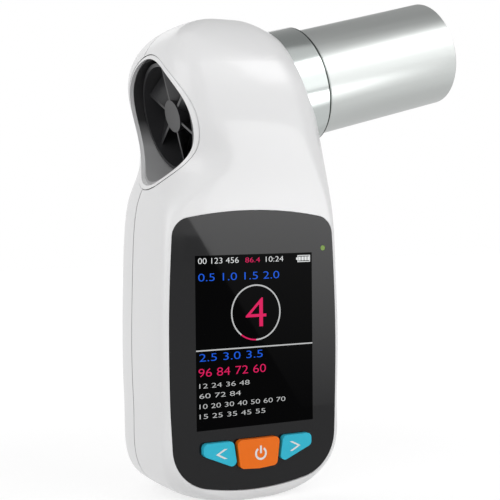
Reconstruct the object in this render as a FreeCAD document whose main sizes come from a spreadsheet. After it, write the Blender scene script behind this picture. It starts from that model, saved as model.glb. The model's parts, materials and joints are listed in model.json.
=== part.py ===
import FreeCAD, Part
import Sketcher
import math
import os

from FreeCAD import Placement, Rotation, Vector

doc = FreeCAD.newDocument("Spirometer")
sizes = doc.addObject("Spreadsheet::Sheet", "sizes")

# Driving dimensions in millimetres and degrees.
# The screen looks towards -Y, the flow axis lies in the XZ plane and rises towards +X.
# Places along the flow axis ("_at", "_start", "_end") count from the middle of the handle.
dimensions = {
    # flow axis
    "axis_height": 68.4,
    "axis_tilt": 14.2,
    "flow_reach": -45.0,
    "nothing": 0.0,
    # housing, outside
    "body_bottom": -46.1,
    "body_top": 92.6,
    "end_flat": 0.05,
    "handle_half_width": 29.7,
    "handle_widest_at": -6.0,
    "handle_side_bow": 594.0,
    "handle_front": 17.6,
    "handle_back": 19.0,
    "handle_front_crown": 600.0,
    "handle_side_crown": 117.0,
    "handle_front_edge": 2.95,
    "handle_back_edge": 9.3,
    "bottom_height": 18.5,
    "bottom_fullness": 3.0,
    "bottom_corner_round": 14.0,
    "bottom_front_round": 4.1,
    "bottom_back_round": 4.1,
    "head_cover": 2.45,
    "head_back_cover": 3.05,
    "head_left_reach": 25.3,
    "head_lean": 0.2,
    "head_left_fullness": 0.44,
    "head_front_crown": 158.0,
    "head_side_crown": 79.0,
    "head_left_edge": 10.3,
    "head_right_edge": 17.2,
    "head_back_left_edge": 3.9,
    "head_back_edge": 13.0,
    "neck_low": 32.0,
    "neck_high": 71.0,
    "neck_front_low": 38.0,
    "neck_side_low": 38.8,
    "neck_side_high": 62.8,
    "neck_edge_high": 46.0,
    "neck_sweep": 5.5,
    "neck_pinch": 1.35,
    "pinch_high": 62.0,
    "smallest_edge": 0.8,
    "foot_stations": 6,
    "handle_stations": 3,
    "neck_stations": 7,
    "crown_stations": 7,
    # housing, inside
    "wall": 2.0,
    "front_wall": 3.0,
    "seam_at": 3.0,
    "rib_thickness": 1.4,
    "rib_left_at": -11.0,
    "rib_right_at": 6.0,
    "rib_reach": 24.0,
    # shared clearances
    "fit_gap": 0.05,
    "slip_gap": 0.1,
    "button_gap": 0.15,
    # turbine opening trim and flow liner
    "bezel_outer": 18.45,
    "bezel_inner": 17.35,
    "bezel_end": -15.0,
    "liner_outer": 17.3,
    "liner_mouth_inner": 16.75,
    "liner_inner": 15.85,
    "liner_recess": 1.2,
    "liner_ledge_at": -16.0,
    "liner_end": 9.9,
    "liner_flange": 18.0,
    "liner_flange_thickness": 1.0,
    # collar and mouthpiece
    "collar_outer": 17.6,
    "collar_end": 26.5,
    "collar_flange": 18.2,
    "collar_flange_thickness": 1.8,
    "collar_shoulder": 2.0,
    "collar_edge": 1.2,
    "mouthpiece_outer": 16.0,
    "mouthpiece_inner": 15.0,
    "mouthpiece_spigot": 15.7,
    "mouthpiece_end": 74.0,
    "mouthpiece_edge": 0.3,
    # turbine cartridge
    "turbine_outer": 15.7,
    "turbine_inner": 14.7,
    "turbine_start": -19.5,
    "turbine_end": 8.0,
    "lug_height": 0.9,
    "lug_length": 2.7,
    "lug_sweep": 42.0,
    "hub_radius": 4.7,
    "hub_back_radius": 3.4,
    "blade_count": 6,
    "blade_thickness": 0.8,
    "blade_twist": 46.0,
    "blade_sections": 3,
    "blade_end_gap": 0.3,
    "blade_root_sink": 1.2,
    "front_swirler_at": -18.0,
    "swirler_length": 7.2,
    "rear_swirler_at": 1.0,
    "rear_swirler_length": 6.4,
    "bearing_radius": 1.5,
    "bearing_length": 1.6,
    "shaft_radius": 0.5,
    "pivot_play": 0.1,
    "pivot_depth": 0.8,
    "vane_half_width": 13.6,
    "vane_length": 9.4,
    "vane_thickness": 0.5,
    "vane_sleeve": 1.2,
    # rotation pickup
    "sensor_at": -4.0,
    "sensor_spread": 6.0,
    "sensor_lamp_radius": 1.5,
    "sensor_lamp_length": 3.6,
    "sensor_base_drop": 1.3,
    "sensor_board_length": 20.0,
    "sensor_board_width": 8.0,
    "sensor_board_thickness": 1.0,
    # front panel and screen
    "panel_face": 17.0,
    "panel_thickness": 0.9,
    "panel_half_width": 26.6,
    "panel_top": 36.8,
    "panel_bottom": -42.4,
    "panel_side_crown": 500.0,
    "panel_top_crown": 117.0,
    "panel_bottom_crown": 75.0,
    "panel_top_corner": 5.5,
    "panel_bottom_corner": 12.5,
    "panel_seat_gap": 0.15,
    "module_half_width": 21.0,
    "module_top": 33.6,
    "module_bottom": -26.6,
    "module_thickness": 2.3,
    "frame_rim": 4.0,
    # buttons and switches
    "button_stand": 1.5,
    "button_flange": 0.35,
    "button_flange_gap": 0.4,
    "button_flange_thickness": 0.8,
    "button_top": -27.9,
    "button_bottom": -36.0,
    "power_top_half": 6.9,
    "power_bottom_half": 5.9,
    "power_belly": 0.45,
    "side_button_inner_top": 8.0,
    "side_button_inner_bottom": 6.8,
    "side_button_outer": 17.3,
    "side_button_outer_low": -31.3,
    "side_button_inner_low": -35.8,
    "button_corner": 1.4,
    "switch_size": 5.2,
    "switch_height": 1.7,
    "switch_floor": 0.15,
    "plunger_radius": 1.5,
    "plunger_depth": 0.9,
    "power_switch_up": -32.0,
    "side_switch_across": 12.0,
    "side_switch_up": -31.3,
    # boards and what is on them
    "board_front": 11.0,
    "board_thickness": 1.6,
    "board_half_width": 22.5,
    "board_top": 34.0,
    "board_bottom": -41.0,
    "board_corner": 10.0,
    "board_notch_gap": 0.2,
    "lamp_across": 22.5,
    "lamp_up": 25.6,
    "light_pipe_radius": 0.75,
    "lamp_height": 0.8,
    "radio_width": 12.0,
    "radio_length": 16.0,
    "radio_height": 2.0,
    "radio_up": 22.0,
    "buzzer_radius": 5.0,
    "buzzer_height": 3.2,
    "buzzer_across": -11.0,
    "buzzer_up": -28.0,
    "port_width": 7.6,
    "port_height": 2.8,
    "port_length": 6.2,
    "port_recess": 0.7,
    "port_gap": 0.4,
    "port_wall": 0.35,
    "port_tongue_side": 1.4,
    "port_tongue_face": 1.05,
    "battery_width": 34.0,
    "battery_length": 50.0,
    "battery_thickness": 8.0,
    "battery_up": 4.0,
    "battery_gap": 0.2,
    "tray_rib_height": 4.0,
    "tray_rib": 1.2,
    # housing screws
    "boss_radius": 2.9,
    "boss_base_radius": 3.6,
    "rear_post_radius": 3.4,
    "upper_screw_across": 20.0,
    "upper_screw_up": 39.0,
    "lower_screw_across": 21.6,
    "lower_screw_up": -31.5,
    "post_radius": 1.5,
    "post_across": 23.0,
    "post_up": 31.0,
    "screw_radius": 1.1,
    "screw_head_radius": 2.2,
    "screw_head_height": 1.6,
    "screw_sink": 5.5,
    "screw_length": 17.0,
}
for row, (alias, value) in enumerate(dimensions.items(), 1):
    sizes.set(f"A{row}", alias)
    sizes.set(f"B{row}", str(value))
    sizes.setAlias(f"B{row}", alias)
doc.recompute()


def size(alias):
    return float(getattr(sizes, alias))


back = Vector(0, 1, 0)
up = Vector(0, 0, 1)
tilt = math.radians(size("axis_tilt"))
flow = Vector(math.cos(tilt), 0, math.sin(tilt))
flow_origin = Vector(0, 0, size("axis_height"))
flow_up = Vector(-math.sin(tilt), 0, math.cos(tilt))


def on_flow(along, side=0.0, rise=0.0):
    """Point in the part's frame from a place along, beside and above the flow axis."""
    return flow_origin + flow * along + back * side + flow_up * rise


# Part shapes in code, for the moulded housing

def smooth(value, low, high):
    share = min(max((value - low) / (high - low), 0.0), 1.0)
    return share * share * (3.0 - 2.0 * share)


def bump(value, low, high):
    if value <= low or value >= high:
        return 0.0
    return math.sin(math.pi * (value - low) / (high - low)) ** 2


def mix(first, second, share):
    return first + (second - first) * share


def corner_centre(first, first_reach, second, second_reach, side):
    """Centre of the corner arc that lies inside two large arcs, on the given side."""
    gap = second.sub(first)
    along = (first_reach ** 2 - second_reach ** 2 + gap.Length ** 2) / (2 * gap.Length)
    off = math.sqrt(first_reach ** 2 - along ** 2)
    direction = Vector(gap).normalize()
    normal = Vector(-direction.y, direction.x, 0)
    foot = first + direction * along
    return max(foot + normal * off, foot - normal * off, key=lambda point: point.dot(side))


def crowned_oval(left, right, low, high, crowns, corners, place):
    """Closed wire of eight tangent arcs: four crowned sides and four corners.

    crowns are the radii of the low, right, high and left sides, corners those of the
    corners that follow each of them, and place turns (u, v) into a point in space.
    """
    middle_u = (left + right) / 2
    middle_v = (low + high) / 2
    apexes = [Vector(middle_u, low, 0), Vector(right, middle_v, 0),
              Vector(middle_u, high, 0), Vector(left, middle_v, 0)]
    inward = [Vector(0, 1, 0), Vector(-1, 0, 0), Vector(0, -1, 0), Vector(1, 0, 0)]
    centres = [apex + turn * crown for apex, turn, crown in zip(apexes, inward, crowns)]
    outward = [Vector(1, -1, 0), Vector(1, 1, 0), Vector(-1, 1, 0), Vector(-1, -1, 0)]
    joints = []
    for index in range(4):
        following = (index + 1) % 4
        radius = corners[index]
        centre = corner_centre(centres[index], crowns[index] - radius,
                               centres[following], crowns[following] - radius,
                               outward[index])
        leaves = centre + (centre - centres[index]).normalize() * radius
        enters = centre + (centre - centres[following]).normalize() * radius
        halfway = centre + ((leaves + enters) * 0.5 - centre).normalize() * radius
        joints.append((leaves, halfway, enters))
    edges = []
    for index in range(4):
        start = joints[index - 1][2]
        leaves, halfway, enters = joints[index]
        edges.append(Part.Arc(place(start), place(apexes[index]), place(leaves)).toShape())
        edges.append(Part.Arc(place(leaves), place(halfway), place(enters)).toShape())
    return Part.Wire(edges)


def body_outline(height, inset, front_inset):
    """Horizontal section of the housing at a height, drawn in by a wall."""
    axis = size("axis_height")
    rise = height - size("body_bottom")
    neck = smooth(height, size("neck_front_low"), axis)
    head = smooth(height, size("neck_low"), size("neck_high"))
    dome = 1.0
    if height > axis:
        dome = 1.0 - ((height - axis) / (size("body_top") - axis)) ** 2
    round_dome = math.sqrt(dome)

    # Towards the bottom the width follows a superellipse, and the front corners grow round.
    below = max(1.0 - rise / size("bottom_height"), 0.0)
    fullness = size("bottom_fullness")
    foot = (1.0 - below ** fullness) ** (1.0 / fullness)

    # The head's left end stands square to the flow axis.
    bowed = size("handle_half_width")
    bowed -= (height - size("handle_widest_at")) ** 2 / (2 * size("handle_side_bow"))
    lean = size("head_lean")
    right = (bowed * foot + lean) * round_dome - lean
    head_reach = size("head_left_reach") + (height - axis) * math.tan(tilt)
    reach = mix(bowed * foot, head_reach,
                smooth(height, size("neck_side_low"), size("neck_side_high")))
    reach -= size("neck_pinch") * bump(height, size("neck_low"), size("pinch_high"))
    left = -lean - (reach - lean) * dome ** size("head_left_fullness")

    def tucked(radius):
        if rise >= radius:
            return 0.0
        return radius - math.sqrt(radius ** 2 - (radius - rise) ** 2)

    head_front = size("bezel_outer") + size("head_cover")
    head_back = size("bezel_outer") + size("head_back_cover")
    front = mix(size("handle_front"), head_front, neck) * round_dome
    rear = mix(size("handle_back"), head_back, neck) * round_dome
    front -= tucked(size("bottom_front_round"))
    rear -= tucked(size("bottom_back_round"))
    front_inset = mix(front_inset, inset, neck)

    front_edge = size("handle_front_edge")
    left_share = smooth(height, size("neck_low"), size("neck_edge_high"))
    low_round = size("bottom_corner_round") * below ** 2
    left_edge = low_round + mix(front_edge, size("head_left_edge"), left_share)
    left_edge += size("neck_sweep") * bump(height, size("neck_side_low"), size("neck_side_high"))
    right_edge = low_round + mix(front_edge, size("head_right_edge"), head)
    back_edge = mix(size("handle_back_edge"), size("head_back_edge"), head)
    back_left_edge = mix(size("handle_back_edge"), size("head_back_left_edge"), head)
    front_crown = 1 / mix(1 / size("handle_front_crown"), 1 / size("head_front_crown"), neck)
    side_crown = 1 / mix(1 / size("handle_side_crown"), 1 / size("head_side_crown"), neck)
    scale = round_dome * foot
    corners = [max(edge * scale - inset, size("smallest_edge") * scale) for edge in
               (right_edge, back_edge, back_left_edge, left_edge)]
    crowns = [front_crown * round_dome, side_crown * round_dome,
              front_crown * round_dome, side_crown * round_dome]
    return (left + inset, right - inset, -front + front_inset, rear - inset, crowns, corners)


def housing_solid(heights, inset, front_inset, squeeze, straight):
    """Solid through the sections, smooth or straight between them, its heights squeezed."""
    wires = []
    for height in heights:
        section_height = squeeze(height)
        left, right, low, high, crowns, corners = body_outline(height, inset, front_inset)
        wires.append(crowned_oval(left, right, low, high, crowns, corners,
                                  lambda point, level=section_height: Vector(point.x, point.y, level)))
    return Part.makeLoft(wires, True, straight)


def evenly(low, high, count):
    return [mix(low, high, (step + 1) / count) for step in range(count)]


def crowding(reach, count):
    """Distances from a rounded end, closest together beside it."""
    return [reach * ((step + 1) / count) ** 2 for step in range(count)]


bottom = size("body_bottom")
top = size("body_top")
end_flat = size("end_flat")
foot_top = bottom + size("bottom_height")
stations = [bottom + end_flat]
stations += [bottom + rise for rise in crowding(size("bottom_height"), int(size("foot_stations")))]
stations += evenly(foot_top, size("neck_low"), int(size("handle_stations")))
stations += evenly(size("neck_low"), size("axis_height"), int(size("neck_stations")))
stations += [top - drop for drop in
             reversed(crowding(top - size("axis_height"), int(size("crown_stations")))[:-1])]
stations.append(top - end_flat)

outer_solid = housing_solid(stations, 0.0, 0.0, lambda height: height, False)


def squeezed(height):
    share = (height - bottom) / (top - bottom)
    return mix(bottom + size("wall"), top - size("wall"), share)


inner_solid = housing_solid(stations[1:-1], size("wall"), size("front_wall"), squeezed, True)


def make(label, shape, place=None):
    """Sub-part whose shape is worked out from the sheet by code."""
    feature = doc.addObject("Part::Feature", label)
    feature.Label = label
    feature.Shape = shape
    if place:
        feature.Placement = place.multiply(shape.Placement)
    return feature


def half_space(from_depth, to_depth):
    reach = 200.0
    box = Part.makeBox(2 * reach, to_depth - from_depth, 2 * reach)
    box.translate(Vector(-reach, from_depth, -reach))
    return box


def rod(radius, start, end, side=0.0):
    """Cylinder along the flow axis."""
    return Part.makeCylinder(radius, end - start, on_flow(start, side), flow)


def stud(radius, at_x, at_z, start, end):
    """Cylinder along +Y."""
    return Part.makeCylinder(radius, end - start, Vector(at_x, start, at_z), back)


def block(x_low, x_high, y_low, y_high, z_low, z_high):
    box = Part.makeBox(x_high - x_low, y_high - y_low, z_high - z_low)
    box.translate(Vector(x_low, y_low, z_low))
    return box


def slab(wire, depth):
    return Part.Face(wire).extrude(back * depth)


def panel_outline(gap, depth):
    side = size("panel_half_width") + gap
    crowns = [size("panel_bottom_crown"), size("panel_side_crown"),
              size("panel_top_crown"), size("panel_side_crown")]
    corners = [size("panel_bottom_corner") + gap, size("panel_top_corner") + gap,
               size("panel_top_corner") + gap, size("panel_bottom_corner") + gap]
    return crowned_oval(-side, side, size("panel_bottom") - gap, size("panel_top") + gap,
                        crowns, corners, lambda point: Vector(point.x, depth, point.y))


def rounded_outline(points, radius, depth):
    """Closed wire through corner points (x, z), each corner rounded by an arc."""
    corners = [Vector(point[0], depth, point[1]) for point in points]
    tangents = []
    for index, corner in enumerate(corners):
        before = (corners[index - 1] - corner).normalize()
        after = (corners[(index + 1) % len(corners)] - corner).normalize()
        half_angle = before.getAngle(after) / 2
        reach = radius / math.tan(half_angle)
        centre = corner + (before + after).normalize() * (radius / math.sin(half_angle))
        nearest = centre + (corner - centre).normalize() * radius
        tangents.append((corner + before * reach, nearest, corner + after * reach))
    edges = []
    for index, (enters, nearest, leaves) in enumerate(tangents):
        edges.append(Part.Arc(enters, nearest, leaves).toShape())
        following = tangents[(index + 1) % len(tangents)][0]
        edges.append(Part.LineSegment(leaves, following).toShape())
    return Part.Wire(edges)


def side_button_points(side, gap):
    """Corners of a side button: level on top, its lower edge falling to the middle."""
    return [(side * (size("side_button_outer") + gap), size("button_top") + gap),
            (side * (size("side_button_inner_top") - gap), size("button_top") + gap),
            (side * (size("side_button_inner_bottom") - gap), size("side_button_inner_low") - gap),
            (side * (size("side_button_outer") + gap), size("side_button_outer_low") - gap)]


def power_button_points(gap):
    top_half = size("power_top_half") + gap
    bottom_half = size("power_bottom_half") + gap
    top_edge = size("button_top") + gap
    bottom_edge = size("button_bottom") - gap
    return [(-top_half, top_edge), (top_half, top_edge), (bottom_half, bottom_edge),
            (0, bottom_edge - size("power_belly")), (-bottom_half, bottom_edge)]


def button_points(name, gap):
    if name == "power":
        return power_button_points(gap)
    return side_button_points(-1 if name == "left" else 1, gap)


def button_prism(name, gap, start, end):
    return slab(rounded_outline(button_points(name, gap), size("button_corner") + gap, start),
                end - start)


button_names = ["left", "power", "right"]
switch_places = {
    "left": (-size("side_switch_across"), size("side_switch_up")),
    "power": (0.0, size("power_switch_up")),
    "right": (size("side_switch_across"), size("side_switch_up")),
}
panel_face = -size("panel_face")
panel_back = panel_face + size("panel_thickness")
wall_back = -size("handle_front") + size("front_wall")
board_front = -size("board_front")
board_back = board_front + size("board_thickness")
seam = size("seam_at")
far = 60.0
fit = size("fit_gap")

screw_places = [(side * size(f"{row}_screw_across"), size(f"{row}_screw_up"))
                for row in ("upper", "lower") for side in (-1, 1)]
screw_seat = size("handle_back") - size("screw_sink")
screw_tip = screw_seat - size("screw_length")
flow_place = Placement(flow_origin, Rotation(flow_up, -back, flow, "ZXY"))


# Housing: two moulded shells with saddles for the liner, screw bosses and openings

def saddles():
    """Ribs across the head that carry the flow liner."""
    ribs = []
    for start in (size("rib_left_at"), size("rib_right_at")):
        end = start + size("rib_thickness")
        ribs.append(rod(size("rib_reach"), start, end).common(inner_solid))
    return ribs


def flow_cuts():
    """Bores for the trim, the liner and the collar, each at its own clearance."""
    return [rod(size("bezel_outer") + fit, -far, size("bezel_end")),
            rod(size("liner_flange") + fit, size("bezel_end"),
                size("bezel_end") + size("liner_flange_thickness") + fit),
            rod(size("liner_outer") + fit, -far, size("liner_end")),
            rod(size("collar_flange") + fit, size("liner_end") - fit,
                size("liner_end") + size("collar_flange_thickness") + fit),
            rod(size("collar_outer") + fit, size("liner_end"), far)]


def port_slot():
    side = size("port_width") / 2 + size("port_gap")
    return block(-side, side, board_back - size("port_gap"),
                 board_back + size("port_height") + size("port_gap"),
                 bottom - 1, bottom + size("wall") + size("port_recess"))


def front_shell_shape():
    solid = hollow.common(half_space(-far, seam))
    added = [rib.common(half_space(-far, seam)) for rib in saddles()]
    for at_x, at_z in screw_places:
        added.append(stud(size("boss_radius"), at_x, at_z, wall_back - 0.5, seam))
        if at_z < 0:
            added.append(stud(size("boss_base_radius"), at_x, at_z, wall_back - 0.5, board_front))
    for side in (-1, 1):
        added.append(stud(size("post_radius"), side * size("post_across"), size("post_up"),
                          wall_back - 0.5, board_front))
    solid = solid.fuse(added)
    side = size("module_half_width") + size("slip_gap")
    cuts = flow_cuts()
    cuts.append(port_slot())
    cuts.append(slab(panel_outline(size("panel_seat_gap"), -far), far + panel_back))
    cuts.append(block(-side, side, -far, wall_back + 1, size("module_bottom") - size("slip_gap"),
                      size("module_top") + size("slip_gap")))
    cuts.append(stud(size("light_pipe_radius") + fit, size("lamp_across"), size("lamp_up"),
                     -far, wall_back + 1))
    for name in button_names:
        cuts.append(button_prism(name, size("button_gap"), panel_back - 1, wall_back + 1))
    for at_x, at_z in screw_places:
        cuts.append(stud(size("screw_radius") + fit, at_x, at_z, screw_tip - 1, far))
    return solid.cut(cuts)


def rear_shell_shape():
    solid = hollow.common(half_space(seam, far))
    added = [rib.common(half_space(seam, far)) for rib in saddles()]
    for at_x, at_z in screw_places:
        added.append(stud(size("rear_post_radius"), at_x, at_z, seam, far).common(outer_solid))
    half = size("battery_width") / 2 + size("battery_gap")
    low = size("battery_up") - size("battery_length") / 2 - size("battery_gap")
    high = size("battery_up") + size("battery_length") / 2 + size("battery_gap")
    rib = size("tray_rib")
    tray_front = size("handle_back") - size("wall") - size("tray_rib_height")
    tray = block(-half - rib, half + rib, tray_front, far, low - rib, high + rib)
    tray = tray.cut(block(-half, half, tray_front, far, low, high))
    added.append(tray.common(outer_solid))
    solid = solid.fuse(added)
    cuts = flow_cuts()
    for at_x, at_z in screw_places:
        cuts.append(stud(size("screw_radius") + size("slip_gap"), at_x, at_z, seam - 1, far))
        cuts.append(stud(size("screw_head_radius") + size("button_gap"), at_x, at_z, screw_seat, far))
    return solid.cut(cuts)


hollow = outer_solid.cut(inner_solid)
make("front_shell", front_shell_shape())
make("rear_shell", rear_shell_shape())


def screws():
    shapes = []
    for at_x, at_z in screw_places:
        head = stud(size("screw_head_radius"), at_x, at_z, screw_seat,
                    screw_seat + size("screw_head_height"))
        shapes.append(head.fuse(stud(size("screw_radius"), at_x, at_z, screw_tip, screw_seat)))
    return Part.makeCompound(shapes)


make("shell_screws", screws())


# Parametric helpers: a formula is a sum of sheet names, such as "liner_end - fit_gap"

def total(formula):
    value = 0.0
    sign = 1.0
    for word in formula.split():
        if word in "+-":
            sign = 1.0 if word == "+" else -1.0
        else:
            value += sign * size(word)
    return value


def bound(formula):
    return " ".join(word if word in "+-" else "sizes." + word for word in formula.split())


def plane(body, role):
    return next(item for item in body.Origin.OriginFeatures if item.Role == role)


def profile_sketch(body, name, points):
    """Closed outline (radius, along) on the body's XZ plane, each corner tied to the sheet."""
    sketch = body.newObject("Sketcher::SketchObject", name)
    sketch.AttachmentSupport = [(plane(body, "XZ_Plane"), "")]
    sketch.MapMode = "FlatFace"
    places = [Vector(total(radius), total(along), 0) for radius, along in points]
    count = len(places)
    for index in range(count):
        sketch.addGeometry(Part.LineSegment(places[index], places[(index + 1) % count]), False)
    for index in range(count):
        sketch.addConstraint(Sketcher.Constraint("Coincident", index, 2, (index + 1) % count, 1))
    for index, (radius, along) in enumerate(points):
        for kind, formula, value in (("DistanceX", radius, places[index].x),
                                     ("DistanceY", along, places[index].y)):
            tie = sketch.addConstraint(Sketcher.Constraint(kind, -1, 1, index, 1, value))
            sketch.renameConstraint(tie, f"{kind}{index}")
            sketch.setExpression(f"Constraints.{kind}{index}", bound(formula))
    return sketch


def turned(label, points, place=None):
    """Body turned about the flow axis from a closed (radius, along) outline."""
    body = doc.addObject("PartDesign::Body", label)
    body.Label = label
    sketch = profile_sketch(body, label + "_profile", points)
    turning = body.newObject("PartDesign::Revolution", label + "_turning")
    turning.Profile = sketch
    turning.ReferenceAxis = (sketch, ["V_Axis"])
    turning.Angle = 360.0
    sketch.Visibility = False
    body.Tip = turning
    body.Placement = place or flow_place
    return body


def ring_points(outer, inner, start, end):
    return [(inner, start), (outer, start), (outer, end), (inner, end)]


# Flow path: trim round the turbine opening, liner, collar and mouthpiece

housing_form = make("housing_form", outer_solid)
recessed_form = make("recessed_form", outer_solid, Placement(flow * size("liner_recess"), Rotation()))


def trim(label, body, form):
    """Body cut off by the housing's outer form, so that its end follows the housing."""
    common = doc.addObject("Part::Common", label)
    common.Label = label
    common.Base = body
    common.Tool = form
    return common


bezel_ring = turned("bezel_ring", ring_points("bezel_outer", "bezel_inner", "flow_reach", "bezel_end"))
trim("turbine_bezel", bezel_ring, housing_form)

liner_blank = turned("liner_blank", [
    ("liner_mouth_inner", "flow_reach"), ("liner_outer", "flow_reach"),
    ("liner_outer", "bezel_end"), ("liner_flange", "bezel_end"),
    ("liner_flange", "bezel_end + liner_flange_thickness"),
    ("liner_outer", "bezel_end + liner_flange_thickness"),
    ("liner_outer", "liner_end"), ("liner_inner", "liner_end"),
    ("liner_inner", "liner_ledge_at"), ("liner_mouth_inner", "liner_ledge_at")])
liner_trimmed = trim("liner_trimmed", liner_blank, recessed_form)


def sensor_lamp(side, radius, top_rise, end_rise):
    return Part.makeCylinder(radius, top_rise - end_rise,
                             on_flow(size("sensor_at"), side, end_rise), flow_up)


sensor_sides = {"infrared_emitter": -size("sensor_spread"), "infrared_receiver": size("sensor_spread")}
sensor_base = -(size("liner_outer") + size("sensor_base_drop"))
sensor_top = sensor_base + size("sensor_lamp_length")
doc.recompute()
liner_shape = liner_trimmed.Shape.cut(
    [sensor_lamp(side, size("sensor_lamp_radius") + fit, 0.0, sensor_base)
     .common(rod(size("liner_outer") + 1, size("rib_left_at"), size("rib_right_at")))
     for side in sensor_sides.values()])
make("flow_liner", liner_shape)

turned("mouthpiece_collar", [
    ("turbine_inner", "liner_end"), ("collar_flange", "liner_end"),
    ("collar_flange", "liner_end + collar_flange_thickness"),
    ("collar_outer", "liner_end + collar_flange_thickness"),
    ("collar_outer", "collar_end - collar_edge"),
    ("collar_outer - collar_edge", "collar_end"),
    ("mouthpiece_spigot + slip_gap", "collar_end"),
    ("mouthpiece_spigot + slip_gap", "liner_end + collar_shoulder"),
    ("turbine_inner", "liner_end + collar_shoulder")])

turned("mouthpiece", [
    ("mouthpiece_inner", "liner_end + collar_shoulder + slip_gap"),
    ("mouthpiece_spigot", "liner_end + collar_shoulder + slip_gap"),
    ("mouthpiece_spigot", "collar_end + slip_gap"),
    ("mouthpiece_outer", "collar_end + slip_gap"),
    ("mouthpiece_outer", "mouthpiece_end - mouthpiece_edge"),
    ("mouthpiece_outer - mouthpiece_edge", "mouthpiece_end"),
    ("mouthpiece_inner", "mouthpiece_end")])


# Turbine cartridge: tube with two lugs, fixed swirlers at both ends and the vane between them

def lug_shape(turn):
    """Bayonet lug: a sector of a ring on the cartridge's mouth end."""
    start = size("liner_ledge_at") - fit - size("lug_length")
    sector = Part.makeCylinder(size("turbine_outer") + size("lug_height"), size("lug_length"),
                               Vector(0, 0, start), up, size("lug_sweep"))
    core = Part.makeCylinder(size("turbine_outer") - fit, size("lug_length"), Vector(0, 0, start), up)
    sector = sector.cut(core)
    sector.rotate(Vector(), up, turn - size("lug_sweep") / 2)
    return sector


tube = Part.makeCylinder(size("turbine_outer"), size("turbine_end") - size("turbine_start"),
                         Vector(0, 0, size("turbine_start")), up)
tube = tube.cut(Part.makeCylinder(size("turbine_inner"), far, Vector(0, 0, -far / 2), up))
make("turbine_tube", tube.fuse([lug_shape(90), lug_shape(-90)]), flow_place)


def swirler(label, start, length, direction, hub_front, hub_rear):
    """Hub with twisted blades that reach the tube's wall, and a seat for its bearing."""
    body = doc.addObject("PartDesign::Body", label)
    body.Label = label
    seat_depth = "bearing_length"
    near = start if direction > 0 else f"{start} + {length}"
    end = f"{start} + {length}" if direction > 0 else start
    floor = f"{end} - {seat_depth}" if direction > 0 else f"{end} + {seat_depth}"
    hub = profile_sketch(body, label + "_hub_profile", [
        ("nothing", near), (hub_front, near), (hub_rear, end), ("bearing_radius", end),
        ("bearing_radius", floor), ("nothing", floor)])
    turning = body.newObject("PartDesign::Revolution", label + "_hub")
    turning.Profile = hub
    turning.ReferenceAxis = (hub, ["V_Axis"])
    turning.Angle = 360.0
    inset = math.copysign(size("blade_end_gap"), direction)
    steps = int(size("blade_sections")) - 1
    sections = []
    for step in range(steps + 1):
        share = step / steps
        section = body.newObject("Sketcher::SketchObject", f"{label}_blade_{step}")
        section.AttachmentSupport = [(plane(body, "XY_Plane"), "")]
        section.MapMode = "FlatFace"
        level = mix(total(near) + inset, total(end) - inset, share)
        turn = size("blade_twist") * share
        section.AttachmentOffset = Placement(Vector(0, 0, level), Rotation(up, turn))
        half = size("blade_thickness") / 2
        root = size("hub_back_radius") - size("blade_root_sink")
        tip = size("turbine_inner") - size("slip_gap")
        corners = [Vector(root, -half, 0), Vector(tip, -half, 0), Vector(tip, half, 0),
                   Vector(root, half, 0)]
        for index in range(4):
            section.addGeometry(Part.LineSegment(corners[index], corners[(index + 1) % 4]), False)
        for index in range(4):
            section.addConstraint(Sketcher.Constraint("Coincident", index, 2, (index + 1) % 4, 1))
        sections.append(section)
    blade = body.newObject("PartDesign::AdditiveLoft", label + "_blade")
    blade.Profile = sections[0]
    blade.Sections = [(section, [""]) for section in sections[1:]]
    blade.Ruled = True
    pattern = body.newObject("PartDesign::PolarPattern", label + "_blades")
    pattern.Originals = [blade]
    pattern.Axis = (plane(body, "Z_Axis"), [""])
    pattern.Angle = 360.0
    pattern.setExpression("Occurrences", "sizes.blade_count")
    body.Tip = pattern
    body.Placement = flow_place
    return body


swirler("front_swirler", "front_swirler_at", "swirler_length", 1, "hub_radius", "hub_back_radius")
swirler("rear_swirler", "rear_swirler_at", "rear_swirler_length", -1, "hub_radius", "hub_back_radius")

front_hub_end = "front_swirler_at + swirler_length"
for label, start, end, mouth in (
        ("front_bearing", front_hub_end + " - bearing_length", front_hub_end, 1),
        ("rear_bearing", "rear_swirler_at", "rear_swirler_at + bearing_length", -1)):
    closed, open_end = (start, end) if mouth > 0 else (end, start)
    floor = f"{open_end} - pivot_depth" if mouth > 0 else f"{open_end} + pivot_depth"
    turned(label, [("nothing", closed), ("bearing_radius", closed), ("bearing_radius", open_end),
                   ("shaft_radius + fit_gap", open_end), ("shaft_radius + fit_gap", floor),
                   ("nothing", floor)])

turned("rotor_shaft", [
    ("nothing", front_hub_end + " - pivot_depth + pivot_play"),
    ("shaft_radius", front_hub_end + " - pivot_depth + pivot_play"),
    ("shaft_radius", "rear_swirler_at + pivot_depth - pivot_play"),
    ("nothing", "rear_swirler_at + pivot_depth - pivot_play")])


def primitive(kind, name, sizes_of, base):
    """Part primitive with its sizes and place tied to the sheet."""
    solid = doc.addObject(kind, name)
    for key, formula in sizes_of.items():
        solid.setExpression(key, formula)
    for key, formula in zip(("x", "y", "z"), base):
        solid.setExpression(f"Placement.Base.{key}", formula)
    return solid


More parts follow.
